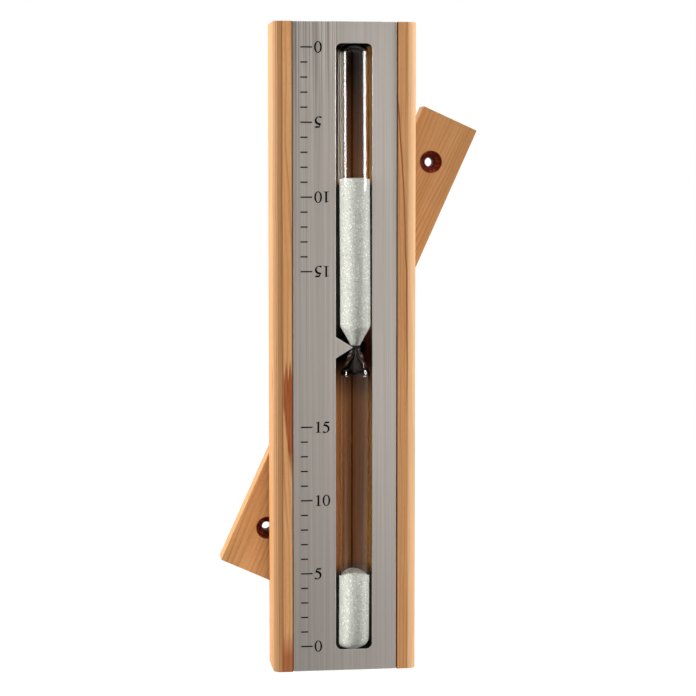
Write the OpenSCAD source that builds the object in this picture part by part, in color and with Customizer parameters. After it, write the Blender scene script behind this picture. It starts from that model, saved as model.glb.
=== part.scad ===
// Wall timer for a sauna: a fifteen minute sandglass in a cedar housing, turned over on a pivot bolt.
// Millimetres. The origin is on the pivot's axis, in the plane of the wall. +Z is up, +X is to the right
// as seen from the front, and the front faces -Y.

/* [Face plate] */
// Width of the steel face plate
plate_w = 51; // [49:0.5:70]
// Thickness of the face plate
plate_t = 1; // [0.6:0.1:2]
// Depth of the plate's face below the wooden strips
plate_recess = 0.5; // [0.2:0.1:1.5]
// Gap between the plate's long edge and the wooden strip beside it
plate_side_gap = 0.4; // [0.2:0.1:0.8]
// Clearance between the slot's side and a vial that is centred in it
slot_side_gap = 1.5; // [1.2:0.1:2.4]
// Clearance between the slot's end and the glass, at the plate's back
slot_end_gap = 0.3; // [0.1:0.1:1]
// Distance of the slot's centre line to the left of the vial's axis
slot_shift = 0.8; // [0:0.1:1]
// Corner radius of the slot
slot_corner_r = 3; // [1:0.25:6]
// Height of the pointer where it leaves the slot's edge
pointer_h = 10.6; // [6:0.2:16]
// Reach of the pointer into the slot, in front of the vial's neck
pointer_reach = 8.6; // [5:0.1:12]
// Height of the pointer's tip above the middle of the plate
pointer_rise = 0.8; // [0:0.1:1.5]
// Thickness of the tape that holds the plate
tape_t = 0.4; // [0.2:0.1:1]
// Distance of the tape from the edges of the land that it lies on
tape_inset = 1.5; // [0.8:0.1:2.5]
// Distance of the tape from the plate's ends
tape_end_inset = 8; // [2:1:20]

/* [Housing] */
// Width of the raised wooden strip at each side of the plate
strip_w = 9.6; // [7:0.2:16]
// Radius of the long front edges
front_edge_r = 4; // [2:0.25:6]
// Radius of the small rounding on the other wooden edges
wood_break_r = 0.6; // [0.3:0.1:1.2]
// Distance of the vial's axis to the right of the housing's centre line
vial_offset = 5.3; // [2:0.1:6]
// Wood at each end of the groove that the vial lies in
end_wall = 7.5; // [5:0.5:20]
// Angle between the two slopes of the groove
groove_angle = 90; // [84:1:100]
// Wood behind the bottom of the groove
groove_wall = 7.6; // [7:0.1:14]
// Wood that the pivot's sleeve passes through
pivot_wall = 4.5; // [3.5:0.1:6]

/* [Glass vial] */
// Outer diameter of the glass
vial_od = 15; // [14.4:0.1:16.4]
// Length of the glass from tip to tip
vial_len = 299.4; // [280:0.1:320]
// Thickness of the glass
vial_wall = 1; // [0.7:0.05:1.4]
// Height of the upper domed end
upper_dome_h = 4.8; // [4:0.1:7.5]
// Height of the lower domed end
lower_dome_h = 6.4; // [4:0.1:7.5]
// Outer diameter of the neck
neck_od = 6; // [4:0.1:6.4]
// Bore of the neck
neck_bore = 1.2; // [0.6:0.1:1.6]
// Distance from the neck to where the glass has its full diameter
shoulder_h = 11; // [9:0.25:14]
// Clearance between the neck and the pointer in front of it
pointer_gap = 0.5; // [0.2:0.1:1.5]
// Gap between the glass and each slope of the groove
vial_seat_gap = 0.5; // [0.1:0.1:0.8]
// Thickness of the cushion at each end of the vial
pad_t = 4; // [3:0.25:8]
// Depth that the tip of the vial sits into its cushion
pad_sink = 1.2; // [0.6:0.1:2]
// Clearance around each cushion and between the cushion and the glass
pad_gap = 0.1; // [0.05:0.05:0.25]

/* [Sand] */
// Minutes that have run through the neck
minutes_run = 5; // [1:0.5:14]
// Height of the heap's crown above its rim
heap_h = 2.6; // [0.5:0.1:5]
// Clearance between the sand and the glass
sand_gap = 0.05; // [0.02:0.01:0.15]

/* [Scale] */
// Height of one minute on the scale
minute_pitch = 7.28; // [6:0.02:8]
// Distance of the zero mark from the tip of the vial
zero_inset = 2.2; // [1:0.1:6]
// Thickness of the printed ink
ink_t = 0.06; // [0.04:0.01:0.2]
// Width of a mark's line
mark_line_w = 0.65; // [0.2:0.05:0.8]
// Length of the mark of one minute
minor_mark_len = 3.5; // [2:0.1:5]
// Length of the mark of five minutes
major_mark_len = 5.8; // [4:0.1:6.6]
// Distance of the marks from the plate's left edge
mark_inset = 3.6; // [2:0.1:4.4]
// Distance of the numerals from the plate's left edge
numeral_inset = 10.2; // [9.6:0.1:11]
// Height of the numerals
numeral_h = 5.5; // [3.5:0.1:6]

/* [Wall bar] */
// Length of the bar that is screwed to the wall
bar_len = 250; // [220:1:300]
// Width of the wall bar
bar_w = 30; // [24:0.5:40]
// Thickness of the wall bar
bar_t = 12; // [10:0.5:20]
// Lean of the wall bar's top to the right
bar_tilt = 24.3; // [0:0.1:90]
// Distance between the two screw holes
hole_span = 202; // [160:1:210]
// Diameter of the screw holes
hole_d = 4.5; // [3.5:0.1:6]
// Diameter of the recess for a screw's head
sink_d = 10.8; // [8:0.1:14]
// Depth of the recess before its cone begins
sink_straight = 2; // [0.5:0.1:3]

/* [Pivot] */
// Diameter of the pivot bolt
bolt_d = 4; // [3:0.5:5]
// Diameter of the bolt's head
bolt_head_d = 7.6; // [6.6:0.1:9.5]
// Height of the bolt's head
bolt_head_h = 2.2; // [1.6:0.1:2.8]
// Width of the hexagonal socket in the bolt's head
socket_af = 2.5; // [1.5:0.5:3]
// Depth of the socket in the bolt's head
socket_depth = 1.3; // [0.8:0.1:1.4]
// Length of the thread that shows past the lock nut
thread_proud = 0.2; // [0:0.1:1]
// Outer diameter of the sleeve that the housing turns on
sleeve_od = 6; // [6:0.1:8]
// Radial clearance between the housing and the sleeve
turn_clearance = 0.06; // [0.02:0.01:0.1]
// Radial clearance of each hole that the bolt or the sleeve only passes through
pass_clearance = 0.1; // [0.05:0.05:0.4]
// Gap between the turning housing and each washer beside it
face_play = 0.05; // [0.02:0.01:0.2]
// Diameter of the washer under the bolt's head
head_washer_d = 12; // [10:0.5:15]
// Thickness of the washer under the bolt's head
head_washer_t = 1; // [0.6:0.1:1.4]
// Thickness of the disc spring's metal
spring_t = 0.4; // [0.2:0.05:0.6]
// Height of the disc spring as fitted
spring_h = 0.7; // [0.7:0.05:1]
// Diameter of the washer between the housing and the bar
friction_washer_d = 26; // [16:0.5:28]
// Thickness of the washer between the housing and the bar
friction_washer_t = 1.5; // [0.8:0.1:3]
// Diameter of the washer under the lock nut
rear_washer_d = 9; // [8:0.5:12]
// Thickness of the washer under the lock nut
rear_washer_t = 0.8; // [0.5:0.1:1.2]
// Width of the lock nut across its flats
nut_af = 7; // [6:0.5:8]
// Height of the lock nut
nut_h = 5; // [3.8:0.1:5.2]
// Height of the collar that holds the lock nut's ring
nut_collar_h = 1.6; // [1:0.1:2]
// Depth of the lock nut's end below the back of the bar
nut_recess = 2; // [1:0.1:2.2]
// Radial room around the rear washer in its pocket
pocket_room = 2; // [0.5:0.25:3]

/* [Hidden] */
$fn = 64;

// Small overlap that lets a cut run past the surface that it opens
past = 1;
// Points on each curved stretch of a turned outline
curve_steps = 8;
// Minutes on each scale
scale_minutes = 15;
// Minutes between two numerals
numeral_step = 5;
// Distance from one digit to the next, as a share of the numerals' height
numeral_advance = 0.74;
// Inward step from the lock nut's flats to its collar
nut_collar_step = 0.35;
// Thickness of the lock nut's collar
nut_collar_wall = 0.5;
// Radial room around the washer under the bolt's head, in its pocket
head_pocket_room = 0.5;
// Height of the straight rim of the bolt's head
head_rim_h = 0.3;
// Radius of the head's flat top, as a share of the head's radius
head_top_share = 0.5;
// Radius at which the head's dome turns down to the rim, as a share of the head's radius
head_brow_share = 0.9;
// Radius of the level crown of the heap of sand, as a share of the bore's radius
heap_crown_share = 0.35;
// Run of the curve between the glass's tube and its cone, along each of them
shoulder_round = 2.5;
// Run of the curve between the cone and the neck, along the cone
neck_round = 1.2;
// Distance from the middle of the neck to where the cone's line meets it
neck_half_h = 0.9;

// The vial's axis lies vial_depth behind the plate's face, with the neck just behind the pointer. The
// bottom of the groove is groove_reach behind the axis.
vial_depth = plate_t + pointer_gap + neck_od / 2;
groove_half_angle = groove_angle / 2;
groove_reach = (vial_od / 2 + vial_seat_gap) / sin(groove_half_angle);

// Sizes that follow from the stack through the housing
housing_t = plate_recess + vial_depth + groove_reach + groove_wall;
housing_w = plate_w + 2 * plate_side_gap + 2 * strip_w;
groove_h = vial_len + 2 * (pad_t - pad_sink);
housing_h = groove_h + 2 * end_wall;
slot_w = vial_od + 2 * slot_side_gap;

// The slot's ends clear the domes where they pass through the plate
dome_share = (vial_depth - plate_t) / (vial_od / 2);
dome_drop = min(upper_dome_h, lower_dome_h) * (1 - sqrt(1 - dome_share * dome_share));
slot_h = vial_len + 2 * (slot_end_gap - dome_drop);

// Places along Y, from the wall forwards
housing_back_y = -(bar_t + friction_washer_t + face_play);
housing_front_y = housing_back_y - housing_t;
plate_front_y = housing_front_y + plate_recess;
plate_back_y = plate_front_y + plate_t;
channel_floor_y = plate_back_y + tape_t;
vial_y = plate_front_y + vial_depth;
groove_bottom_y = vial_y + groove_reach;
pocket_floor_y = housing_back_y - pivot_wall;

// Places along X, from the vial's axis
housing_x = -vial_offset;
plate_left_x = housing_x - plate_w / 2;
channel_half_w = plate_w / 2 + plate_side_gap;
slot_left_x = -slot_shift - slot_w / 2;
groove_half_w = (groove_bottom_y - channel_floor_y) * tan(groove_half_angle);

// The pivot's stack: head, washer, sleeve, bar, washer and nut are clamped together
sleeve_len = spring_h + 2 * face_play + pivot_wall + friction_washer_t;
sleeve_front_y = -bar_t - sleeve_len;
head_seat_y = sleeve_front_y - head_washer_t;
nut_pocket_depth = rear_washer_t + nut_h + nut_recess;
bolt_len = head_washer_t + sleeve_len + bar_t - nut_recess + thread_proud;
nut_front_y = -nut_recess - nut_h;
nut_body_h = nut_h - nut_collar_h;
nut_collar_d = nut_af - 2 * nut_collar_step;
nut_ring_d = nut_collar_d - 2 * nut_collar_wall;

// The vial's inside and the levels of the sand
vial_r = vial_od / 2;
inner_r = vial_r - vial_wall;
inner_half_len = vial_len / 2 - vial_wall;
sand_r = inner_r - sand_gap;
sand_neck_r = neck_bore / 2 - sand_gap;
zero_z = vial_len / 2 - zero_inset;
upper_sand_z = shoulder_h + (scale_minutes - minutes_run) * minute_pitch;
lower_sand_z = -zero_z + minutes_run * minute_pitch;

// Room for a head's cone, as deep as it is wide to the hole
sink_cone_h = (sink_d - hole_d) / 2;

cedar = [0.80, 0.59, 0.38];
cedar_dark = [0.75, 0.53, 0.32];
steel_face = [0.64, 0.61, 0.57];
steel_bright = [0.78, 0.78, 0.80];
clear_glass = [0.80, 0.86, 0.88, 0.35];
quartz = [0.80, 0.80, 0.77];
black_ink = [0.08, 0.07, 0.07];
black_foam = [0.10, 0.10, 0.10];
white_tape = [0.90, 0.90, 0.88];
brass = [0.78, 0.62, 0.30];
nylon = [0.93, 0.93, 0.90];
blue_nylon = [0.25, 0.42, 0.70];

// Points of a curve from a to c that leaves and arrives along the lines to b
function bend(a, b, c) = [for (i = [0:curve_steps])
    let (t = i / curve_steps) a * (1 - t) * (1 - t) + b * 2 * t * (1 - t) + c * t * t];

// The same with two guide points
function sweep(a, b, c, d) = [for (i = [0:curve_steps])
    let (t = i / curve_steps, u = 1 - t)
    a * u * u * u + b * 3 * u * u * t + c * 3 * u * t * t + d * t * t * t];

// The list without each point that repeats the one before it
function without_repeats(p) = [for (i = [0:len(p) - 1]) if (i == 0 || norm(p[i] - p[i - 1]) > 0.0001) p[i]];

function turned_over(p) = [for (i = [len(p) - 1:-1:0]) [p[i][0], -p[i][1]]];

function backwards(p) = [for (i = [len(p) - 1:-1:0]) p[i]];

// Quarter of an ellipse from the axis at z_tip down to the radius r
function dome(r, h, z_tip) = [for (i = [0:curve_steps])
    let (a = 90 * i / curve_steps) [r * sin(a), z_tip - h * (1 - cos(a))]];

// Half outline of one bulb's lower end: the round corners of a cone between the tube and the neck
function bulb_shoulder(r_tube, r_neck, z_full, z_neck) =
    let (corner = [r_tube, z_full], foot = [r_neck, z_neck], down = (foot - corner) / norm(foot - corner))
    concat(
        bend(corner + [0, shoulder_round], corner, corner + down * shoulder_round),
        bend(foot - down * neck_round, foot, [r_neck, 0]));

// Right half of a bulb that stands on the neck, from the tip down to the neck
function bulb(r_tube, r_neck, h, z_tip) =
    concat(dome(r_tube, h, z_tip), bulb_shoulder(r_tube, r_neck, shoulder_h, neck_half_h));

// Right half of the vial from the top tip to the bottom tip, at a depth of one wall or none
function vial_outline(wall, r_neck) = without_repeats(concat(
    bulb(vial_r - wall, r_neck, upper_dome_h - wall, vial_len / 2 - wall),
    turned_over(bulb(vial_r - wall, r_neck, lower_dome_h - wall, vial_len / 2 - wall))));

// A rectangle with round corners, centred
module round_rect(w, h, r) {
    square([w - 2 * r, h], center = true);
    square([w, h - 2 * r], center = true);
    for (x = [-1, 1], z = [-1, 1])
        translate([x * (w / 2 - r), z * (h / 2 - r)])
            circle(r = r);
}

// Extrudes an outline drawn as seen from the front, so that it fills from y_front to y_back
module upright(y_front, y_back) {
    translate([0, y_back, 0])
        rotate([90, 0, 0])
            linear_extrude(height = y_back - y_front)
                children();
}

// A ring or a disc around the pivot's axis, from y_front to y_back
module turned(y_front, y_back, d, bore = 0) {
    upright(y_front, y_back)
        difference() {
            circle(d = d);
            if (bore > 0) circle(d = bore);
        }
}

// The housing's cross-section, with its long front edges rounded more than its back edges
module housing_section() {
    small = wood_break_r;
    large = front_edge_r;
    translate([housing_x - housing_w / 2, housing_front_y]) {
        translate([0, large]) square([housing_w, housing_t - large - small]);
        translate([large, 0]) square([housing_w - 2 * large, housing_t - small]);
        translate([small, large]) square([housing_w - 2 * small, housing_t - large]);
        for (x = [large, housing_w - large]) translate([x, large]) circle(r = large);
        for (x = [small, housing_w - small]) translate([x, housing_t - small]) circle(r = small);
    }
}

module slot_outline() {
    translate([-slot_shift, 0])
        round_rect(slot_w, slot_h, slot_corner_r);
}

// The groove's cross-section seen from above, from front_y back to its bottom
module groove_outline(front_y, inset) {
    bottom_y = groove_bottom_y - inset / sin(groove_half_angle);
    half_w = (bottom_y - front_y) * tan(groove_half_angle);
    polygon([[-half_w, front_y], [half_w, front_y], [0, bottom_y]]);
}

module pointer_outline() {
    translate([slot_left_x, pointer_rise])
        polygon([[-past, -pointer_h / 2], [0, -pointer_h / 2], [pointer_reach, 0], [0, pointer_h / 2],
            [-past, pointer_h / 2]]);
}

module housing() {
    color(cedar)
        difference() {
            intersection() {
                linear_extrude(height = housing_h, center = true) housing_section();
                upright(housing_front_y - past, housing_back_y + past)
                    translate([housing_x, 0]) round_rect(housing_w, housing_h, wood_break_r);
            }
            upright(housing_front_y - past, channel_floor_y)
                translate([housing_x, 0])
                    square([2 * channel_half_w, housing_h + 2 * past], center = true);
            linear_extrude(height = groove_h, center = true)
                groove_outline(channel_floor_y - past, 0);
            turned(channel_floor_y, pocket_floor_y, head_washer_d + 2 * head_pocket_room);
            turned(pocket_floor_y - past, housing_back_y + past, sleeve_od + 2 * turn_clearance);
        }
}

module face_plate() {
    color(steel_face)
        upright(plate_front_y, plate_back_y) {
            difference() {
                translate([housing_x, 0]) square([plate_w, housing_h], center = true);
                slot_outline();
            }
            pointer_outline();
        }
}

// A strip of tape on the land between the groove and one wall of the channel
module tape_strip(x_low, x_high) {
    color(white_tape)
        upright(plate_back_y, channel_floor_y)
            translate([x_low + tape_inset, -housing_h / 2 + tape_end_inset])
                square([x_high - x_low - 2 * tape_inset, housing_h - 2 * tape_end_inset]);
}

module plate_tape_left() {
    tape_strip(plate_left_x, -groove_half_w);
}

module plate_tape_right() {
    tape_strip(groove_half_w, plate_left_x + plate_w);
}

// Ink as seen from the front, printed on the plate
module printed() {
    color(black_ink)
        upright(plate_front_y - ink_t, plate_front_y)
            children();
}

// One scale's marks: side is 1 above the neck and -1 below it
module ticks(side) {
    printed()
        for (m = [0:scale_minutes]) {
            mark_len = m % numeral_step == 0 ? major_mark_len : minor_mark_len;
            translate([plate_left_x + mark_inset, side * (zero_z - m * minute_pitch) - mark_line_w / 2])
                square([mark_len, mark_line_w]);
        }
}

module ticks_upper() {
    ticks(1);
}

module ticks_lower() {
    ticks(-1);
}

// Points round an ellipse
function oval(rx, ry, n) = [for (i = [0:n - 1]) [rx * cos(360 * i / n), ry * sin(360 * i / n)]];

// Each digit is drawn one unit high
module digit_0() {
    translate([0.36, 0.5])
        difference() {
            polygon(oval(0.345, 0.52, 40));
            polygon(oval(0.19, 0.445, 40));
        }
}

module digit_1() {
    polygon(concat(
        [[0.15, 0], [0.61, 0], [0.61, 0.05]],
        bend([0.55, 0.05], [0.465, 0.06], [0.465, 0.13]),
        [[0.465, 1], [0.42, 1], [0.155, 0.895], [0.165, 0.845]],
        bend([0.21, 0.86], [0.295, 0.895], [0.295, 0.81]),
        bend([0.295, 0.13], [0.295, 0.06], [0.21, 0.05]),
        [[0.15, 0.05]]));
}

module digit_5() {
    polygon(without_repeats(concat(
        [[0.25, 0.99], [0.59, 0.99], [0.635, 1.02], [0.655, 1], [0.59, 0.85], [0.57, 0.84], [0.28, 0.84]],
        [[0.245, 0.755]],
        sweep([0.245, 0.755], [0.46, 0.73], [0.655, 0.60], [0.655, 0.36]),
        sweep([0.655, 0.36], [0.655, 0.11], [0.43, -0.035], [0.19, -0.035]),
        bend([0.19, -0.035], [0.035, -0.035], [0.035, 0.055]),
        bend([0.035, 0.055], [0.035, 0.13], [0.115, 0.13]),
        bend([0.115, 0.13], [0.18, 0.13], [0.225, 0.085]),
        bend([0.225, 0.085], [0.26, 0.05], [0.31, 0.055]),
        sweep([0.31, 0.055], [0.41, 0.07], [0.485, 0.17], [0.485, 0.31]),
        sweep([0.485, 0.31], [0.485, 0.48], [0.35, 0.58], [0.07, 0.60]))));
}

module digit(n) {
    if (n == 0) digit_0();
    if (n == 1) digit_1();
    if (n == 5) digit_5();
}

// A number of one or two digits, centred in height on its mark
module number(n) {
    tens = floor(n / 10);
    translate([0, -0.5]) {
        if (tens > 0) digit(tens);
        translate([tens > 0 ? numeral_advance : 0, 0]) digit(n % 10);
    }
}

// One scale's numbers: the upper ones stand on their heads, to be read when the timer is turned over
module numbers(side) {
    printed()
        for (m = [0:numeral_step:scale_minutes])
            translate([plate_left_x + numeral_inset, side * (zero_z - m * minute_pitch)])
                if (side > 0)
                    translate([numeral_h * numeral_advance * (m < 10 ? 1 : 2), 0])
                        rotate(180) scale(numeral_h) number(m);
                else
                    scale(numeral_h) number(m);
}

module numerals_upper() {
    numbers(1);
}

module numerals_lower() {
    numbers(-1);
}

module glass_vial() {
    color(clear_glass)
        translate([0, vial_y, 0])
            rotate_extrude()
                polygon(concat(
                    vial_outline(0, neck_od / 2),
                    backwards(vial_outline(vial_wall, neck_bore / 2))));
}

module sand_upper() {
    color(quartz)
        translate([0, vial_y, 0])
            rotate_extrude()
                polygon(without_repeats(concat(
                    [[0, upper_sand_z], [sand_r, upper_sand_z]],
                    bulb_shoulder(sand_r, sand_neck_r, shoulder_h + sand_gap, neck_half_h + sand_gap),
                    [[0, 0]])));
}

module sand_lower() {
    rim_z = lower_sand_z - heap_h;
    floor_z = inner_half_len - sand_gap;
    color(quartz)
        translate([0, vial_y, 0])
            rotate_extrude()
                polygon(without_repeats(concat(
                    bend([0, lower_sand_z], [sand_r * heap_crown_share, lower_sand_z], [sand_r, rim_z]),
                    turned_over(dome(sand_r, lower_dome_h - vial_wall - sand_gap, floor_z)))));
}

// The cushion between the end of the groove and the tip of the vial: side is 1 at the top
module end_pad(side) {
    pad_h = pad_t - pad_gap;
    dome_h = side > 0 ? upper_dome_h : lower_dome_h;
    color(black_foam)
        difference() {
            translate([0, 0, side * (vial_len / 2 - pad_sink + pad_h / 2)])
                linear_extrude(height = pad_h, center = true)
                    groove_outline(channel_floor_y + pad_gap, pad_gap);
            translate([0, vial_y, 0])
                rotate_extrude()
                    polygon(concat([[0, 0], [0, side * (vial_len / 2 + pad_gap)]], pad_recess(side, dome_h)));
        }
}

// The recess follows the dome of the vial
function pad_recess(side, dome_h) = [for (p = dome(vial_r + pad_gap, dome_h, vial_len / 2 + pad_gap))
    if (p[0] > 0) [p[0], side * p[1]]];

module end_pad_top() {
    end_pad(1);
}

module end_pad_bottom() {
    end_pad(-1);
}

module hexagon(af) {
    circle(d = af / cos(30), $fn = 6);
}

module pivot_bolt() {
    color(steel_bright) {
        difference() {
            translate([0, head_seat_y, 0]) rotate([90, 0, 0]) button_head();
            upright(head_seat_y - bolt_head_h - past, head_seat_y - bolt_head_h + socket_depth)
                hexagon(socket_af);
        }
        turned(head_seat_y, head_seat_y + bolt_len, bolt_d);
    }
}

// A low domed head with a flat top and a short straight rim
module button_head() {
    head_r = bolt_head_d / 2;
    rotate_extrude()
        polygon(concat([[0, 0], [head_r, 0]],
            bend([head_r, head_rim_h], [head_r * head_brow_share, bolt_head_h],
                [head_r * head_top_share, bolt_head_h]),
            [[0, bolt_head_h]]));
}

module head_washer() {
    color(steel_bright)
        turned(head_seat_y, sleeve_front_y, head_washer_d, bolt_d + 2 * pass_clearance);
}

// A coned spring washer: its rim bears on the pocket's floor and its hole's edge on the head's washer
module disc_spring() {
    hole_r = sleeve_od / 2 + pass_clearance;
    rim_r = head_washer_d / 2;
    color(steel_bright)
        translate([0, sleeve_front_y, 0])
            rotate([-90, 0, 0])
                rotate_extrude()
                    polygon([[hole_r, 0], [hole_r, spring_t], [rim_r, spring_h],
                        [rim_r, spring_h - spring_t]]);
}

module pivot_sleeve() {
    color(brass)
        turned(sleeve_front_y, -bar_t, sleeve_od, bolt_d + 2 * pass_clearance);
}

module friction_washer() {
    color(nylon)
        turned(-bar_t - friction_washer_t, -bar_t, friction_washer_d, sleeve_od + 2 * pass_clearance);
}

module wall_bar() {
    color(cedar_dark)
        rotate([0, bar_tilt, 0])
            difference() {
                intersection() {
                    upright(-bar_t, 0) round_rect(bar_w, bar_len, wood_break_r);
                    translate([0, -bar_t / 2, 0])
                        linear_extrude(height = bar_len, center = true)
                            round_rect(bar_w, bar_t, wood_break_r);
                }
                turned(-bar_t - past, past, bolt_d + 2 * pass_clearance);
                turned(-nut_pocket_depth, past, rear_washer_d + 2 * pocket_room);
                for (end = [-1, 1])
                    translate([0, 0, end * hole_span / 2]) screw_hole();
            }
}

// A through hole with a recess and a cone for the screw's head, from the front
module screw_hole() {
    turned(-bar_t - past, past, hole_d);
    turned(-bar_t - past, -bar_t + sink_straight, sink_d);
    translate([0, -bar_t + sink_straight, 0])
        rotate([-90, 0, 0])
            cylinder(h = sink_cone_h, d1 = sink_d, d2 = hole_d);
}

module rear_washer() {
    color(steel_bright)
        turned(-nut_pocket_depth, nut_front_y, rear_washer_d, bolt_d + 2 * pass_clearance);
}

module lock_nut() {
    collar_y = nut_front_y + nut_body_h;
    bore = bolt_d + 2 * pass_clearance;
    color(steel_bright) {
        upright(nut_front_y, collar_y)
            difference() {
                hexagon(nut_af);
                circle(d = bore);
            }
        turned(collar_y, -nut_recess, nut_collar_d, nut_ring_d);
    }
}

// The nylon ring fills the collar and grips the thread
module nut_insert() {
    color(blue_nylon)
        turned(nut_front_y + nut_body_h, -nut_recess, nut_ring_d, bolt_d);
}

housing();
face_plate();
plate_tape_left();
plate_tape_right();
ticks_upper();
ticks_lower();
numerals_upper();
numerals_lower();
glass_vial();
sand_upper();
sand_lower();
end_pad_top();
end_pad_bottom();
pivot_bolt();
head_washer();
disc_spring();
pivot_sleeve();
friction_washer();
wall_bar();
rear_washer();
lock_nut();
nut_insert();
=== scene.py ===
import math

import bmesh
import bpy
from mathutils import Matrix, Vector


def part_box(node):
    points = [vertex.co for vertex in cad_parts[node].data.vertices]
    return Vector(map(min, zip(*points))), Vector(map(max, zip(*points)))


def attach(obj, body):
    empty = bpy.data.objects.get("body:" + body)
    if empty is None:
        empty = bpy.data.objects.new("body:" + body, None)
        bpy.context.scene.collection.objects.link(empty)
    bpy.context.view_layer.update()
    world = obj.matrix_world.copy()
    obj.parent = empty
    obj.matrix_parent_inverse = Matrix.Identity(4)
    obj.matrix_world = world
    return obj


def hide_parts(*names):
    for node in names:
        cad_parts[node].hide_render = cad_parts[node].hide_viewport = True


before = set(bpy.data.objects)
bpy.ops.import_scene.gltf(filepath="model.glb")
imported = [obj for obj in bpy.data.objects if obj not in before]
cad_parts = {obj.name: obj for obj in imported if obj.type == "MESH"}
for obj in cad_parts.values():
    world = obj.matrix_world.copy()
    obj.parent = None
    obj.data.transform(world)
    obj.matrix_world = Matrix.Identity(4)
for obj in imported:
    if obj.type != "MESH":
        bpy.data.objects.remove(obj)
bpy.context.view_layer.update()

# The camera stands a metre in front of the face plate, a little to its left and above it, with a long
# lens. The lens is shifted down a little, so that the upright edges stay nearly parallel.
plate_low, plate_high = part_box("face_plate")
aim = Vector(((plate_low.x + plate_high.x) / 2, plate_low.y, 0))
camera_distance = 1.0
camera_azimuth = math.radians(7.409)
camera_elevation = math.radians(4.947)
camera_turn = math.radians(7.495)
camera_tilt = math.radians(4.008)
camera_data = bpy.data.cameras.new("photo_camera")
camera_data.lens = 105.216
camera_data.sensor_width = 36
camera_data.shift_y = -0.046
camera = bpy.data.objects.new("photo_camera", camera_data)
camera.location = aim + camera_distance * Vector((
    -math.sin(camera_azimuth) * math.cos(camera_elevation),
    -math.cos(camera_azimuth) * math.cos(camera_elevation),
    math.sin(camera_elevation)))
camera.rotation_euler = (math.radians(90) - camera_tilt, 0, -camera_turn)
bpy.context.scene.collection.objects.link(camera)
bpy.context.scene.camera = camera
bpy.context.scene.view_settings.view_transform = "Standard"

# Wall bar: a planed cedar lath that leans to the right and is screwed to the wall through two
# recesses. The recesses are coloured a dark red-brown, partly the drill's scorch and partly painted shade,
# and the pivot's nut sits in its back.
bar_lean = math.radians(24.3)
screw_hole_offset = 101
recess_radius = 5.4


def linear(hex_colour):
    """A linear RGBA colour from an sRGB hex value."""
    channels = [int(hex_colour[i:i + 2], 16) / 255 for i in (1, 3, 5)]
    return [c / 12.92 if c <= 0.04045 else ((c + 0.055) / 1.055) ** 2.4 for c in channels] + [1]


def add(tree, kind, inputs=(), **settings):
    """Adds a node, fills or links its inputs, and returns its outputs. A short kind is a shader node."""
    made = tree.nodes.new(kind if "Node" in kind else "ShaderNode" + kind)
    for name, value in settings.items():
        setattr(made, name, value)
    for name, value in dict(inputs).items():
        if isinstance(value, bpy.types.NodeSocket):
            tree.links.new(value, made.inputs[name])
        else:
            made.inputs[name].default_value = value
    return made.outputs


def new_material(name):
    """A material without any nodes, and its node tree."""
    material = bpy.data.materials.new(name)
    material.use_nodes = True
    material.node_tree.nodes.clear()
    return material, material.node_tree


def finish_surface(tree, shader):
    """Links the shader to a new output."""
    add(tree, "OutputMaterial", {"Surface": shader})


def millimetres(tree, turn=0):
    """Object coordinates in millimetres, turned about Y so that a leaning piece's length lies along Z."""
    place = add(tree, "TexCoord")["Object"]
    return add(tree, "Mapping", {"Vector": place, "Rotation": (0, turn, 0), "Scale": (1000, 1000, 1000)})[0]


def drawn_out(tree, mm, across, along, detail, roughness=0.5):
    """Noise stretched along Z, given how many of its features lie on a millimetre across and along."""
    place = add(tree, "VectorMath", {0: mm, 1: (across, across, along)}, operation="MULTIPLY")[0]
    return add(tree, "TexNoise", {"Vector": place, "Scale": 1, "Detail": detail,
                                  "Roughness": roughness})[0]


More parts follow.
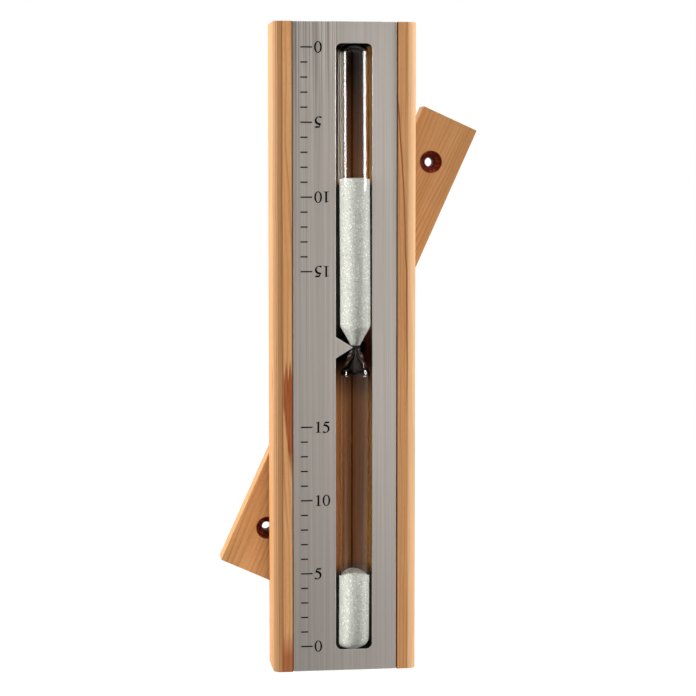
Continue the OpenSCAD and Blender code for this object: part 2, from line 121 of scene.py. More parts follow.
def cedar(name, tones, pith, ring_pitch, ring_strength, turn, paint):
    """Planed or sanded cedar. tones are its pale earlywood, its tan heartwood and its dark latewood lines,
    pith is where the middle of the tree was, and paint adds what only one piece has."""
    material, tree = new_material(name)
    mm = millimetres(tree, turn)
    pale, tan, dark = (linear(tone) for tone in tones)
    # The growth rings are circles about the pith, which wander slowly along the grain
    wander = drawn_out(tree, mm, 0.045, 0.007, detail=2)
    from_pith = add(tree, "VectorMath", {0: mm, 1: pith}, operation="SUBTRACT")[0]
    flat = add(tree, "VectorMath", {0: from_pith, 1: (1, 1, 0.004)}, operation="MULTIPLY")[0]
    distance = add(tree, "VectorMath", {0: flat}, operation="LENGTH")["Value"]
    wandered = add(tree, "Math", {0: wander, 1: 9, 2: distance}, operation="MULTIPLY_ADD")[0]
    turns = add(tree, "Math", {0: wandered, 1: ring_pitch}, operation="DIVIDE")[0]
    phase = add(tree, "Math", {0: turns}, operation="FRACT")[0]
    late = add(tree, "MapRange", {"Value": phase, "From Min": 0.35, "From Max": 0.97},
               interpolation_type="SMOOTHERSTEP")[0]
    early = add(tree, "MapRange", {"Value": phase, "From Min": 1.0, "From Max": 0.97})[0]
    line = add(tree, "Math", {0: late, 1: early}, operation="MULTIPLY")[0]
    # Each ring has a strength of its own, which fades in and out along the grain
    ring_number = add(tree, "Math", {0: turns}, operation="FLOOR")[0]
    along = add(tree, "SeparateXYZ", {0: mm})["Z"]
    slow = add(tree, "Math", {0: along, 1: 0.012}, operation="MULTIPLY")[0]
    own = add(tree, "CombineXYZ", {"X": ring_number, "Z": slow})[0]
    strength = add(tree, "TexNoise", {"Vector": own, "Scale": 0.73, "Detail": 1})[0]
    strong = add(tree, "MapRange", {"Value": strength, "From Min": 0.35, "From Max": 0.7,
                                    "To Min": 0.15, "To Max": 1})[0]
    ring = add(tree, "Math", {0: line, 1: strong}, operation="MULTIPLY")[0]
    ring_share = add(tree, "Math", {0: ring, 1: ring_strength}, operation="MULTIPLY")[0]
    # Fibres are 0.4 mm wide and some 15 mm long, drawn coarser than the real ones so that they show
    fibre = drawn_out(tree, mm, 2.4, 0.07, detail=3, roughness=0.6)
    fibre_share = add(tree, "MapRange", {"Value": fibre, "From Min": 0.3, "From Max": 0.7})[0]
    # Short dark flecks stand for cut pores. At 0.3 mm by 2.4 mm they are coarser than the real ones
    fleck = drawn_out(tree, mm, 3.6, 0.42, detail=1)
    fleck_share = add(tree, "MapRange", {"Value": fleck, "From Min": 0.64, "From Max": 0.76,
                                         "To Max": 0.5})[0]
    # The ground tone changes slowly from pale to tan
    tone = drawn_out(tree, mm, 0.14, 0.018, detail=2)
    tone_share = add(tree, "MapRange", {"Value": tone, "From Min": 0.3, "From Max": 0.7})[0]
    fibre_part = add(tree, "Math", {0: fibre_share, 1: 0.55}, operation="MULTIPLY")[0]
    both = add(tree, "Math", {0: tone_share, 1: 0.45, 2: fibre_part}, operation="MULTIPLY_ADD")[0]
    ground = add(tree, "Mix", {0: both, 6: pale, 7: tan}, data_type="RGBA")[2]
    ringed = add(tree, "Mix", {0: ring_share, 6: ground, 7: dark}, data_type="RGBA")[2]
    flecked = add(tree, "Mix", {0: fleck_share, 6: ringed, 7: dark}, data_type="RGBA")[2]
    colour = paint(tree, mm, flecked)
    roughness = add(tree, "MapRange", {"Value": fibre, "To Min": 0.5, "To Max": 0.72})[0]
    relief = add(tree, "Math", {0: ring, 1: 0.5, 2: fibre}, operation="MULTIPLY_ADD")[0]
    bump = add(tree, "Bump", {"Height": relief, "Strength": 0.35, "Distance": 0.00006})[0]
    finish_surface(tree, add(tree, "BsdfPrincipled", {
        "Base Color": colour, "Roughness": roughness, "IOR": 1.45, "Specular IOR Level": 0.25,
        "Normal": bump})[0])
    return material


def dressed_copy(node, body, material, soften):
    """A copy of a CAD solid as one clean mesh with its sharp edges softened, which stands for it."""
    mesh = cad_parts[node].data.copy()
    mesh.materials.clear()
    work = bmesh.new()
    work.from_mesh(mesh)
    bmesh.ops.remove_doubles(work, verts=work.verts, dist=2e-6)
    bmesh.ops.dissolve_limit(work, angle_limit=math.radians(0.5), verts=work.verts, edges=work.edges)
    work.to_mesh(mesh)
    work.free()
    rough = bpy.data.objects.new(node + "_rough", mesh)
    bpy.context.scene.collection.objects.link(rough)
    bevel = rough.modifiers.new("softened", "BEVEL")
    bevel.width = soften
    bevel.segments = 3
    bevel.limit_method = "ANGLE"
    bevel.angle_limit = math.radians(35)
    bevel.use_clamp_overlap = True
    mesh.shade_smooth()
    mesh.set_sharp_from_angle(angle=math.radians(32))
    level = rough.modifiers.new("level_faces", "WEIGHTED_NORMAL")
    level.weight = 100
    level.keep_sharp = True
    final = bpy.data.meshes.new_from_object(rough.evaluated_get(bpy.context.evaluated_depsgraph_get()))
    bpy.data.objects.remove(rough)
    final.materials.append(material)
    piece = bpy.data.objects.new(node + "_finished", final)
    bpy.context.scene.collection.objects.link(piece)
    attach(piece, body)
    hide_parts(node)
    return piece


def recess_shade_and_browning(tree, mm, colour):
    """Colours the walls of the two screw recesses, and their rims faintly, a dark red-brown that is partly
    the drill's scorch and partly painted shade, and browns the bar towards its upper end."""
    across, _, along = add(tree, "SeparateXYZ", {0: mm})
    offset = add(tree, "Math", {0: add(tree, "Math", {0: along}, operation="ABSOLUTE")[0],
                                1: screw_hole_offset}, operation="SUBTRACT")[0]
    place = add(tree, "CombineXYZ", {"X": across, "Y": offset})[0]
    radius = add(tree, "VectorMath", {0: place}, operation="LENGTH")["Value"]
    # Painted shade, with the drill's scorch: the recess walls and their rims turn a dark red-brown
    in_recess = add(tree, "MapRange", {"Value": radius, "From Min": recess_radius + 0.45,
                                   "From Max": recess_radius + 0.05})[0]
    patches = add(tree, "TexNoise", {"Vector": mm, "Scale": 0.9, "Detail": 2})[0]
    patch_share = add(tree, "MapRange", {"Value": patches, "From Min": 0.52, "From Max": 0.72})[0]
    recess_tone = add(tree, "Mix", {0: patch_share, 6: linear("#5E1A12"), 7: linear("#A8502C")},
               data_type="RGBA")[2]
    # The bar is browner towards its upper end
    upper_end = add(tree, "MapRange", {"Value": along, "From Min": 10, "From Max": 90, "To Max": 0.45})[0]
    browner_upwards = add(tree, "Mix", {0: upper_end, 6: colour, 7: linear("#98693C")}, data_type="RGBA")[2]
    return add(tree, "Mix", {0: in_recess, 6: browner_upwards, 7: recess_tone}, data_type="RGBA")[2]


bar_cedar = cedar("cedar_planed_bar", ("#D8A672", "#BC8652", "#7E4A22"), pith=(-34, 30, 0),
                  ring_pitch=1.3, ring_strength=0.5, turn=-bar_lean, paint=recess_shade_and_browning)
dressed_copy("wall_bar", "wall_mount", bar_cedar, soften=0.0002)

# Pivot hardware: an M4 button-head bolt and the washer under its head are steel in black oxide, and the
# rear washer and the lock nut are zinc plated. The bolt clamps the sleeve to the bar, and the nut sits in
# a pocket in the bar's back.


def worn_metal(name, bright, dull, roughness, grain_mm):
    """A small metal part: bright and dull are its clean and its stained colour."""
    material, tree = new_material(name)
    mm = millimetres(tree)
    stain = add(tree, "TexNoise", {"Vector": mm, "Scale": 0.35, "Detail": 3})[0]
    share = add(tree, "MapRange", {"Value": stain, "From Min": 0.4, "From Max": 0.7})[0]
    colour = add(tree, "Mix", {0: share, 6: linear(bright), 7: linear(dull)}, data_type="RGBA")[2]
    grain = add(tree, "TexNoise", {"Vector": mm, "Scale": 1 / grain_mm, "Detail": 2})[0]
    rough = add(tree, "MapRange", {"Value": grain, "To Min": roughness - 0.08,
                                   "To Max": roughness + 0.08})[0]
    bump = add(tree, "Bump", {"Height": grain, "Strength": 0.2, "Distance": 0.00002})[0]
    finish_surface(tree, add(tree, "BsdfPrincipled", {
        "Base Color": colour, "Metallic": 1.0, "Roughness": rough, "Normal": bump})[0])
    return material


def paint_nodes(material, *nodes):
    """Gives CAD nodes that keep their own shape a material."""
    for node in nodes:
        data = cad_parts[node].data
        data.materials.clear()
        data.materials.append(material)


zinc = worn_metal("steel_zinc_plated", "#C8CBD0", "#9EA0A2", roughness=0.3, grain_mm=0.3)
paint_nodes(zinc, "rear_washer", "lock_nut")
oxide = worn_metal("steel_black_oxide", "#2A2A2C", "#1C1B1B", roughness=0.42, grain_mm=0.25)
paint_nodes(oxide, "pivot_bolt", "head_washer")

# Disc spring: a blued spring-steel cone under the head's washer, which keeps the housing from turning
# under its own weight.
blued = worn_metal("spring_steel_blued", "#5C6068", "#3E3F45", roughness=0.35, grain_mm=0.25)
paint_nodes(blued, "disc_spring")

# Pivot sleeve: a tube of turned brass, the bearing that the housing turns on. The bolt clamps it to the
# bar, so it stands still.
brass = worn_metal("brass_turned", "#D2A95A", "#A98443", roughness=0.32, grain_mm=0.2)
paint_nodes(brass, "pivot_sleeve")

# Friction washer and the nut's ring: moulded nylon, natural white between the housing and the bar,
# and blue in the nut.


def moulded_nylon(name, colour, shade):
    """Nylon as it comes from the mould, faintly mottled and waxy."""
    material, tree = new_material(name)
    mm = millimetres(tree)
    mottle = add(tree, "TexNoise", {"Vector": mm, "Scale": 0.5, "Detail": 3})[0]
    tint = add(tree, "Mix", {0: mottle, 6: linear(colour), 7: linear(shade)}, data_type="RGBA")[2]
    pits = add(tree, "TexNoise", {"Vector": mm, "Scale": 5, "Detail": 2})[0]
    bump = add(tree, "Bump", {"Height": pits, "Strength": 0.2, "Distance": 0.00002})[0]
    finish_surface(tree, add(tree, "BsdfPrincipled", {
        "Base Color": tint, "Roughness": 0.42, "IOR": 1.53, "Subsurface Weight": 0.15,
        "Subsurface Radius": (0.0004, 0.0004, 0.0004), "Normal": bump})[0])
    return material


paint_nodes(moulded_nylon("nylon_natural", "#E6E2D8", "#D8D2C4"), "friction_washer")
paint_nodes(moulded_nylon("nylon_blue", "#3F6CB4", "#33589A"), "nut_insert")

# Housing: one length of cedar with a shallow channel for the plate and a V groove for the vial. Its long
# front edges are rounded. The left strip has a red flame in the grain, and the right one a dark line.
before_lands = 0.05
short_of_back = 0.5
past_pads = 0.3
groove_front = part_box("plate_tape_left")[1].y * 1000 - before_lands
groove_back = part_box("housing")[1].y * 1000 - short_of_back
groove_half_width = 14.5
groove_half_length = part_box("end_pad_top")[1].z * 1000 + past_pads
channel_centre = (plate_low.x + plate_high.x) / 2 * 1000
channel_half_width = (plate_high.x - plate_low.x) / 2 * 1000
# Where the figure of the front lies: the line at the left rounding, the flame's middle, the spread of its
# points and the height from which it tapers, a limit right of the left strip, and the dark line, the height
# where it turns and its bend
ridge_x = -35.9
flame_x = -34.4
flame_spread = 1.0
flame_taper_z = -28
left_strip_limit = -25
line_x = 26.2
line_turn_z = 9
line_bend = 0.00039


def flame(tree, mm, across, along):
    """How far the left strip's wood is red, and its red. The flame has two points at its top, is widest in
    its middle and has one point at its foot beside the plate. The strip's lower end is red too."""
    streaks = drawn_out(tree, mm, 1.6, 0.05, detail=2)
    from_point = add(tree, "Math", {0: across, 1: -flame_x}, operation="ADD")[0]
    valley = add(tree, "Math", {0: from_point, 1: flame_spread}, operation="PINGPONG")[0]
    tip = add(tree, "Math", {0: valley, 1: 9, 2: along}, operation="MULTIPLY_ADD")[0]
    ragged_tip = add(tree, "Math", {0: streaks, 1: 8, 2: tip}, operation="MULTIPLY_ADD")[0]
    under_tip = add(tree, "MapRange", {"Value": ragged_tip, "From Min": 1, "From Max": -4})[0]
    below = add(tree, "Math", {0: flame_taper_z, 1: along}, operation="SUBTRACT")[0]
    tapered = add(tree, "Math", {0: below, 1: 0}, operation="MAXIMUM")[0]
    left_side = add(tree, "Math", {0: tapered, 1: -0.1, 2: across}, operation="MULTIPLY_ADD")[0]
    ragged_side = add(tree, "Math", {0: streaks, 1: 1.2, 2: left_side}, operation="MULTIPLY_ADD")[0]
    beyond_side = add(tree, "MapRange", {"Value": ragged_side, "From Min": -35.5, "From Max": -34.8})[0]
    inside = add(tree, "Math", {0: under_tip, 1: beyond_side}, operation="MULTIPLY")[0]
    foot = add(tree, "MapRange", {"Value": along, "From Min": -66, "From Max": -50})[0]
    lower_end = add(tree, "MapRange", {"Value": along, "From Min": -140, "From Max": -152,
                                       "To Max": 0.75})[0]
    whole = add(tree, "Math", {0: inside, 1: foot}, operation="MULTIPLY")[0]
    grain = drawn_out(tree, mm, 2.4, 0.03, detail=2)
    in_grain = add(tree, "MapRange", {"Value": grain, "From Min": 0.42, "From Max": 0.58,
                                      "To Min": 0.72, "To Max": 1.0})[0]
    licks = add(tree, "Math", {0: whole, 1: in_grain}, operation="MULTIPLY")[0]
    red = add(tree, "Math", {0: licks, 1: lower_end}, operation="MAXIMUM")[0]
    ember = add(tree, "Mix", {0: streaks, 6: linear("#6A2E12"), 7: linear("#A85428")},
                data_type="RGBA")[2]
    return red, ember


def dark_line(tree, across, along):
    """How dark the wood is along a thin line that leaves the channel near the top and bends down into the
    middle of the right strip."""
    height = add(tree, "Math", {0: along, 1: line_turn_z}, operation="SUBTRACT")[0]
    squared = add(tree, "Math", {0: height, 1: 2}, operation="POWER")[0]
    bend = add(tree, "Math", {0: squared, 1: line_bend, 2: across}, operation="MULTIPLY_ADD")[0]
    wavy_place = add(tree, "Math", {0: along, 1: 0.03}, operation="MULTIPLY")[0]
    wavy = add(tree, "TexNoise", {"W": wavy_place, "Scale": 1, "Detail": 1}, noise_dimensions="1D")[0]
    line_place = add(tree, "Math", {0: wavy, 1: 1.4, 2: bend}, operation="MULTIPLY_ADD")[0]
    away = add(tree, "Math", {0: line_place, 1: line_x}, operation="SUBTRACT")[0]
    apart = add(tree, "Math", {0: away}, operation="ABSOLUTE")[0]
    line = add(tree, "MapRange", {"Value": apart, "From Min": 0.5, "From Max": 0.15, "To Max": 0.95})[0]
    fade = add(tree, "MapRange", {"Value": along, "From Min": -40, "From Max": 20})[0]
    return add(tree, "Math", {0: line, 1: fade}, operation="MULTIPLY")[0]


def groove_walls(tree, mm, across, depth, along):
    """Where the groove is, and the colour of its walls: streaked wood, with painted shade that turns it
    black at the upper end, in the crease and in a band left of the vial, a painted shadow of the sand beside
    the sand and round the lower end, and painted light that makes the right wall and the left wall above the
    upper sand paler."""
    # Groove: everything between the plate's land and the back, over the groove's width and length
    deep = add(tree, "Math", {0: depth, 1: (groove_front + groove_back) / 2,
                              2: (groove_back - groove_front) / 2}, operation="COMPARE")[0]
    wide = add(tree, "Math", {0: across, 1: 0, 2: groove_half_width}, operation="COMPARE")[0]
    long = add(tree, "Math", {0: along, 1: 0, 2: groove_half_length}, operation="COMPARE")[0]
    within = add(tree, "Math", {0: add(tree, "Math", {0: deep, 1: wide}, operation="MULTIPLY")[0],
                                1: long}, operation="MULTIPLY")[0]
    streak = drawn_out(tree, mm, 0.9, 0.02, detail=3)
    streaked_walls = add(tree, "Mix", {0: streak, 6: linear("#905834"), 7: linear("#D89058")},
                   data_type="RGBA")[2]
    # Painted shade: the walls darken to near black towards the upper end
    upward = add(tree, "MapRange", {"Value": along, "From Min": 74, "From Max": 138, "To Max": 0.94})[0]
    top_shaded = add(tree, "Mix", {0: upward, 6: streaked_walls, 7: linear("#1E0A07")}, data_type="RGBA")[2]
    # Painted shade: a near-black line along the crease at the groove's bottom
    off_bottom = add(tree, "Math", {0: across}, operation="ABSOLUTE")[0]
    crease_shade = add(tree, "MapRange", {"Value": off_bottom, "From Min": 0.7, "From Max": 0.3,
                                    "To Max": 0.85})[0]
    crease_shaded = add(tree, "Mix", {0: crease_shade, 6: top_shaded, 7: linear("#241008")}, data_type="RGBA")[2]
    # The right wall is painted paler, a painted light. Above the upper sand the left one is painted near
    # white, a painted light that the glass mirrors as a bright strip, but for a black band of painted shade
    # in the gap between the slot's edge and the vial
    right_wall_light = add(tree, "MapRange", {"Value": across, "From Min": 5.5, "From Max": 7.5})[0]
    right_wall_lit = add(tree, "Mix", {0: right_wall_light, 6: crease_shaded, 7: linear("#DC9C58")}, data_type="RGBA")[2]
    leftward = add(tree, "MapRange", {"Value": across, "From Min": -4, "From Max": -6})[0]
    in_gap = add(tree, "MapRange", {"Value": across, "From Min": -7.6, "From Max": -7.9})[0]
    above = add(tree, "MapRange", {"Value": along, "From Min": 80, "From Max": 84})[0]
    left_wall = add(tree, "Math", {0: leftward, 1: above}, operation="MULTIPLY")[0]
    under_plate = add(tree, "MapRange", {"Value": across, "From Min": -8.9, "From Max": -8.6})[0]
    gap_band = add(tree, "Math", {0: in_gap, 1: under_plate}, operation="MULTIPLY")[0]
    # Painted shade: a black band in the gap between the slot's edge and the vial
    gap_shade = add(tree, "Math", {0: left_wall, 1: gap_band}, operation="MULTIPLY")[0]
    left_wall_outside_gap = add(tree, "Math", {0: left_wall, 1: gap_shade}, operation="SUBTRACT")[0]
    below_dome = add(tree, "MapRange", {"Value": along, "From Min": 147, "From Max": 144})[0]
    beyond = add(tree, "Math", {0: left_wall_outside_gap, 1: below_dome}, operation="MULTIPLY")[0]
    # Painted light: the left wall above the upper sand is near white, which the glass mirrors as a bright
    # strip
    pale_wall_light = add(tree, "Mix", {0: beyond, 6: right_wall_lit, 7: linear("#F0E2D4")}, data_type="RGBA")[2]
    # Painted shadow of the sand, black: along the upper bulb down to the neck, and round the lower end
    under_top = add(tree, "MapRange", {"Value": along, "From Min": 86, "From Max": 80})[0]
    over_neck = add(tree, "MapRange", {"Value": along, "From Min": -30, "From Max": -6},
                    interpolation_type="SMOOTHSTEP")[0]
    upper_sand_shadow = add(tree, "Math", {0: under_top, 1: over_neck}, operation="MULTIPLY")[0]
    lower_sand_shadow = add(tree, "MapRange", {"Value": along, "From Min": -107, "From Max": -113})[0]
    upper_shadow_and_gap_shade = add(tree, "Math", {0: upper_sand_shadow, 1: gap_shade}, operation="MAXIMUM")[0]
    stain = add(tree, "Math", {0: upper_shadow_and_gap_shade, 1: lower_sand_shadow}, operation="MAXIMUM")[0]
    near_neck = add(tree, "MapRange", {"Value": add(tree, "Math", {0: along}, operation="ABSOLUTE")[0],
                                       "From Min": 26, "From Max": 12})[0]
    to_right = add(tree, "MapRange", {"Value": across, "From Min": 0, "From Max": 5})[0]
    redder = add(tree, "Math", {0: near_neck, 1: to_right}, operation="MULTIPLY")[0]
    shadow_tone = add(tree, "Mix", {0: redder, 6: linear("#0C0403"), 7: linear("#3A0E08")},
                data_type="RGBA")[2]
    shadowed_walls = add(tree, "Mix", {0: stain, 6: pale_wall_light, 7: shadow_tone}, data_type="RGBA")[2]
    return within, shadowed_walls


def housing_figure(tree, mm, colour):
    """What only the housing has: lines of their own on its rounded edges, painted shade on the left rounding
    and a painted sheen on the right one, painted shade in the corners beside the plate, the flame in the
    left strip, the dark line in the right one, and the groove's walls."""
    across, depth, along = add(tree, "SeparateXYZ", {0: mm})
    # Rounded edges: the rings are cut steeply there, so their lines are fine and crisp
    sway_place = add(tree, "Math", {0: along, 1: 0.02}, operation="MULTIPLY")[0]
    sway = add(tree, "TexNoise", {"W": sway_place, "Scale": 1, "Detail": 1}, noise_dimensions="1D")[0]
    swayed = add(tree, "Math", {0: sway, 1: 0.8, 2: across}, operation="MULTIPLY_ADD")[0]
    threads = add(tree, "TexNoise", {"W": swayed, "Scale": 2.0, "Detail": 2}, noise_dimensions="1D")[0]
    thread = add(tree, "MapRange", {"Value": threads, "From Min": 0.5, "From Max": 0.56, "To Max": 0.95})[0]
    # The tones of the face fade out behind it. Of its figure, only the two dark lines run on to the back
    at_front = add(tree, "MapRange", {"Value": depth, "From Min": -29, "From Max": -33})[0]
    past_left = add(tree, "MapRange", {"Value": across, "From Min": -36.3, "From Max": -36.7})[0]
    left_edge = add(tree, "Math", {0: past_left, 1: at_front}, operation="MULTIPLY")[0]
    past_right = add(tree, "MapRange", {"Value": across, "From Min": 25.8, "From Max": 26.2})[0]
    right_edge = add(tree, "Math", {0: past_right, 1: at_front}, operation="MULTIPLY")[0]
    # Painted shade darkens the left rounding, and a painted sheen makes the right one paler
    left_rounding_shaded = add(tree, "Mix", {0: left_edge, 6: colour, 7: linear("#B48A60")}, data_type="RGBA")[2]
    right_sheen_share = add(tree, "Math", {0: right_edge, 1: 0.55}, operation="MULTIPLY")[0]
    right_rounding_sheen = add(tree, "Mix", {0: right_sheen_share, 6: left_rounding_shaded, 7: linear("#E0B88C")}, data_type="RGBA")[2]
    left_thread = add(tree, "Math", {0: thread, 1: left_edge}, operation="MULTIPLY")[0]
    threaded = add(tree, "Mix", {0: left_thread, 6: right_rounding_sheen, 7: linear("#8E5C30")}, data_type="RGBA")[2]
    # A strong line runs where the left rounding meets the flat, and painted shade darkens the corners beside
    # the plate
    beside_flat = add(tree, "Math", {0: swayed, 1: ridge_x}, operation="SUBTRACT")[0]
    from_flat = add(tree, "Math", {0: beside_flat}, operation="ABSOLUTE")[0]
    ridge = add(tree, "MapRange", {"Value": from_flat, "From Min": 0.55, "From Max": 0.15,
                                   "To Max": 0.85})[0]
    ridged = add(tree, "Mix", {0: ridge, 6: threaded, 7: linear("#8A5426")}, data_type="RGBA")[2]
    from_middle_x = add(tree, "Math", {0: across, 1: channel_centre}, operation="SUBTRACT")[0]
    from_axis = add(tree, "Math", {0: from_middle_x}, operation="ABSOLUTE")[0]
    corner = add(tree, "Math", {0: from_axis, 1: channel_half_width}, operation="SUBTRACT")[0]
    near_corner = add(tree, "Math", {0: corner}, operation="ABSOLUTE")[0]
    # Painted shade in the corners beside the plate
    by_corner = add(tree, "MapRange", {"Value": near_corner, "From Min": 0.95, "From Max": 0.45,
                                       "To Max": 0.85})[0]
    corner_shade = add(tree, "Math", {0: by_corner, 1: at_front}, operation="MULTIPLY")[0]
    red, ember = flame(tree, mm, across, along)
    on_left = add(tree, "Math", {0: across, 1: left_strip_limit}, operation="LESS_THAN")[0]
    off_edge = add(tree, "Math", {0: 1, 1: left_edge}, operation="SUBTRACT")[0]
    on_face = add(tree, "Math", {0: on_left, 1: at_front}, operation="MULTIPLY")[0]
    in_strip = add(tree, "Math", {0: on_face, 1: off_edge}, operation="MULTIPLY")[0]
    flame_share = add(tree, "Math", {0: red, 1: in_strip}, operation="MULTIPLY")[0]
    flamed = add(tree, "Mix", {0: flame_share, 6: ridged, 7: ember}, data_type="RGBA")[2]
    line_share = dark_line(tree, across, along)
    lined = add(tree, "Mix", {0: line_share, 6: flamed, 7: linear("#7C3A1C")}, data_type="RGBA")[2]
    # The right strip is a little browner than the left one, with threads of its own
    right_flat = add(tree, "MapRange", {"Value": across, "From Min": 19, "From Max": 20, "To Max": 0.2})[0]
    off_right = add(tree, "Math", {0: 1, 1: right_edge}, operation="SUBTRACT")[0]
    off_edges = add(tree, "Math", {0: right_flat, 1: off_right}, operation="MULTIPLY")[0]
    shaded = add(tree, "Math", {0: off_edges, 1: at_front}, operation="MULTIPLY")[0]
    browner = add(tree, "Mix", {0: shaded, 6: lined, 7: linear("#A06E42")}, data_type="RGBA")[2]
    right_thread = add(tree, "Math", {0: thread, 1: shaded}, operation="MULTIPLY")[0]
    grained = add(tree, "Mix", {0: right_thread, 6: browner, 7: linear("#7A4824")}, data_type="RGBA")[2]
    corner_shaded_wood = add(tree, "Mix", {0: corner_shade, 6: grained, 7: linear("#5A3218")},
                        data_type="RGBA")[2]
    within, shadowed_walls = groove_walls(tree, mm, across, depth, along)
    return add(tree, "Mix", {0: within, 6: corner_shaded_wood, 7: shadowed_walls}, data_type="RGBA")[2]


housing_cedar = cedar("cedar_sanded_housing", ("#D3A06E", "#BE8654", "#8E5528"), pith=(-80, 34, 0),
                      ring_pitch=1.5, ring_strength=0.6, turn=0, paint=housing_figure)
dressed_copy("housing", "timer", housing_cedar, soften=0.00025)

# End pads: two cushions of black closed-cell foam, cut to the V groove. They sit above and below the vial
# and hold it by its ends.


def foam():
    """Closed-cell foam: black, with the cut cells as pits about 0.4 mm across."""
    material, tree = new_material("foam_closed_cell")
    mm = millimetres(tree)
    cells = add(tree, "TexVoronoi", {"Vector": mm, "Scale": 2.5})["Distance"]
    tint = add(tree, "Mix", {0: cells, 6: linear("#090606"), 7: linear("#181010")}, data_type="RGBA")[2]
    bump = add(tree, "Bump", {"Height": cells, "Strength": 0.6, "Distance": 0.0001})[0]
    finish_surface(tree, add(tree, "BsdfPrincipled", {
        "Base Color": tint, "Roughness": 0.95, "IOR": 1.45, "Specular IOR Level": 0.2,
        "Normal": bump})[0])
    return material


paint_nodes(foam(), "end_pad_top", "end_pad_bottom")

# Vial: one borosilicate tube, drawn in at the middle to a thick neck with a fine bore, and closed with a
# dome at each end in the flame. It was drawn by hand, so it bends a little to the right at the neck, and
# its lower end is squarer on the left.
glass_low, glass_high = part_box("glass_vial")
vial_axis_y = (glass_low.y + glass_high.y) / 2
vial_radius = (glass_high.x - glass_low.x) / 2 * 1000
vial_half = glass_high.z * 1000
wall = 1.0
upper_dome = 4.8
lower_dome = 6.4
# The axis leans from the neck to both ends, with a rounded bend. The two powers shape the lower dome, at
# its right and at its left
neck_shift = 0.55
end_shift = -0.25
bend_rounding = 12
rounder_power = 2.5
squarer_power = 6
# Corners of the outside and of the inside from the upper tube down to the lower one: radius, height, and
# the run of the curve before and after the corner
outer_corners = [(vial_radius, 10.9, 1.2), (1.8, 0.9, 2.1), (vial_radius, -11.9, 2.0)]
inner_corners = [(vial_radius - wall, 11.0, 0.9), (1.4, 1.8, 0.25), (0.45, 1.6, 0.2), (0.45, -4.3, 0.8),
                 (3.7, -10.3, 1.5), (vial_radius - wall, -12.6, 1.2)]


def dome(radius, height, tip, steps=16):
    """Points of a dome's outline, from its tip on the axis to the tube. Below, the tip is negative."""
    way = math.copysign(1, tip)
    return [(radius * math.sin(math.pi / 2 * i / steps),
             tip - way * height * (1 - math.cos(math.pi / 2 * i / steps))) for i in range(steps + 1)]


def eased(a, b, c, steps=10):
    """Points of a curve from a to c that leaves and arrives along the lines to b."""
    return [tuple((1 - t) ** 2 * a[k] + 2 * t * (1 - t) * b[k] + t * t * c[k] for k in (0, 1))
            for t in (i / steps for i in range(steps + 1))]


def towards(a, b, run):
    """The point at a distance from a on the way to b."""
    share = run / math.dist(a, b)
    return (a[0] + (b[0] - a[0]) * share, a[1] + (b[1] - a[1]) * share)


def cornered(start, corners, finish):
    """Outline from start to finish round a list of softened corners."""
    stops = [start, *((r, z) for r, z, _ in corners), finish]
    points = [start]
    for before, (r, z, run), after in zip(stops, corners, stops[2:]):
        points += eased(towards((r, z), before, run), (r, z), towards((r, z), after, run))
    return points + [finish]


def tidy_outline(points):
    """The outline without a point that repeats the one before it."""
    kept = points[:1]
    for point in points[1:]:
        if math.dist(point, kept[-1]) > 1e-4:
            kept.append(point)
    return kept


def squarer_left(r, z, angle, radius, height, tip):
    """The radius of the lower dome: nearly square on the left and rounder on the right."""
    depth = (abs(z) - (abs(tip) - height)) / height
    if z > 0 or depth <= 0:
        return r
    power = rounder_power + (squarer_power - rounder_power) * ((1 - math.cos(angle)) / 2) ** 2
    return radius * (1 - min(depth, 1) ** power) ** (1 / power)


def revolved(name, outlines, steps=128):
    """A solid turned round the vial's axis from outlines in millimetres that start and end on the axis.
    Each outline comes with the radius and height of its lower dome."""
    work = bmesh.new()
    for outline, radius, height in outlines:
        tip = min(z for _, z in outline)
        rows = []
        for r, z in outline:
            on_axis = r < 1e-6
            bend = end_shift + (neck_shift - end_shift) * (1 - math.hypot(z, bend_rounding) / vial_half)
            row = []
            for i in range(1 if on_axis else steps):
                angle = 2 * math.pi * i / steps
                around = 0 if on_axis else squarer_left(r, z, angle, radius, height, tip)
                row.append(work.verts.new(((bend + around * math.cos(angle)) / 1000,
                                           vial_axis_y + around * math.sin(angle) / 1000, z / 1000)))
            rows.append(row)
        for upper, lower in zip(rows, rows[1:]):
            for i in range(steps):
                j = (i + 1) % steps
                ring = [upper[i % len(upper)], lower[i % len(lower)],
                        lower[j % len(lower)], upper[j % len(upper)]]
                work.faces.new([v for k, v in enumerate(ring) if v not in ring[:k]])
    mesh = bpy.data.meshes.new(name)
    work.to_mesh(mesh)
    work.free()
    mesh.shade_smooth()
    piece = bpy.data.objects.new(name, mesh)
    bpy.context.scene.collection.objects.link(piece)
    return piece


def vial_outline(inset, corners):
    """Outline of the vial's outside, or of its inside when inset by the wall."""
    upper = dome(vial_radius - inset, upper_dome - inset, vial_half - inset)
    lower = dome(vial_radius - inset, lower_dome - inset, inset - vial_half)
    return tidy_outline(upper + cornered(upper[-1], corners, lower[-1]) + lower[::-1])


def clear_glass():
    """Borosilicate glass: clear, with the faint long waves that drawing leaves in a tube."""
    material, tree = new_material("borosilicate_glass_drawn")
    mm = millimetres(tree)
    waves = drawn_out(tree, mm, 0.35, 0.03, detail=1)
    bump = add(tree, "Bump", {"Height": waves, "Strength": 0.012, "Distance": 0.0001})[0]
    finish_surface(tree, add(tree, "BsdfPrincipled", {
        "Base Color": linear("#FAFCFB"), "Transmission Weight": 1.0, "Roughness": 0.0, "IOR": 1.474,
        "Normal": bump})[0])
    return material


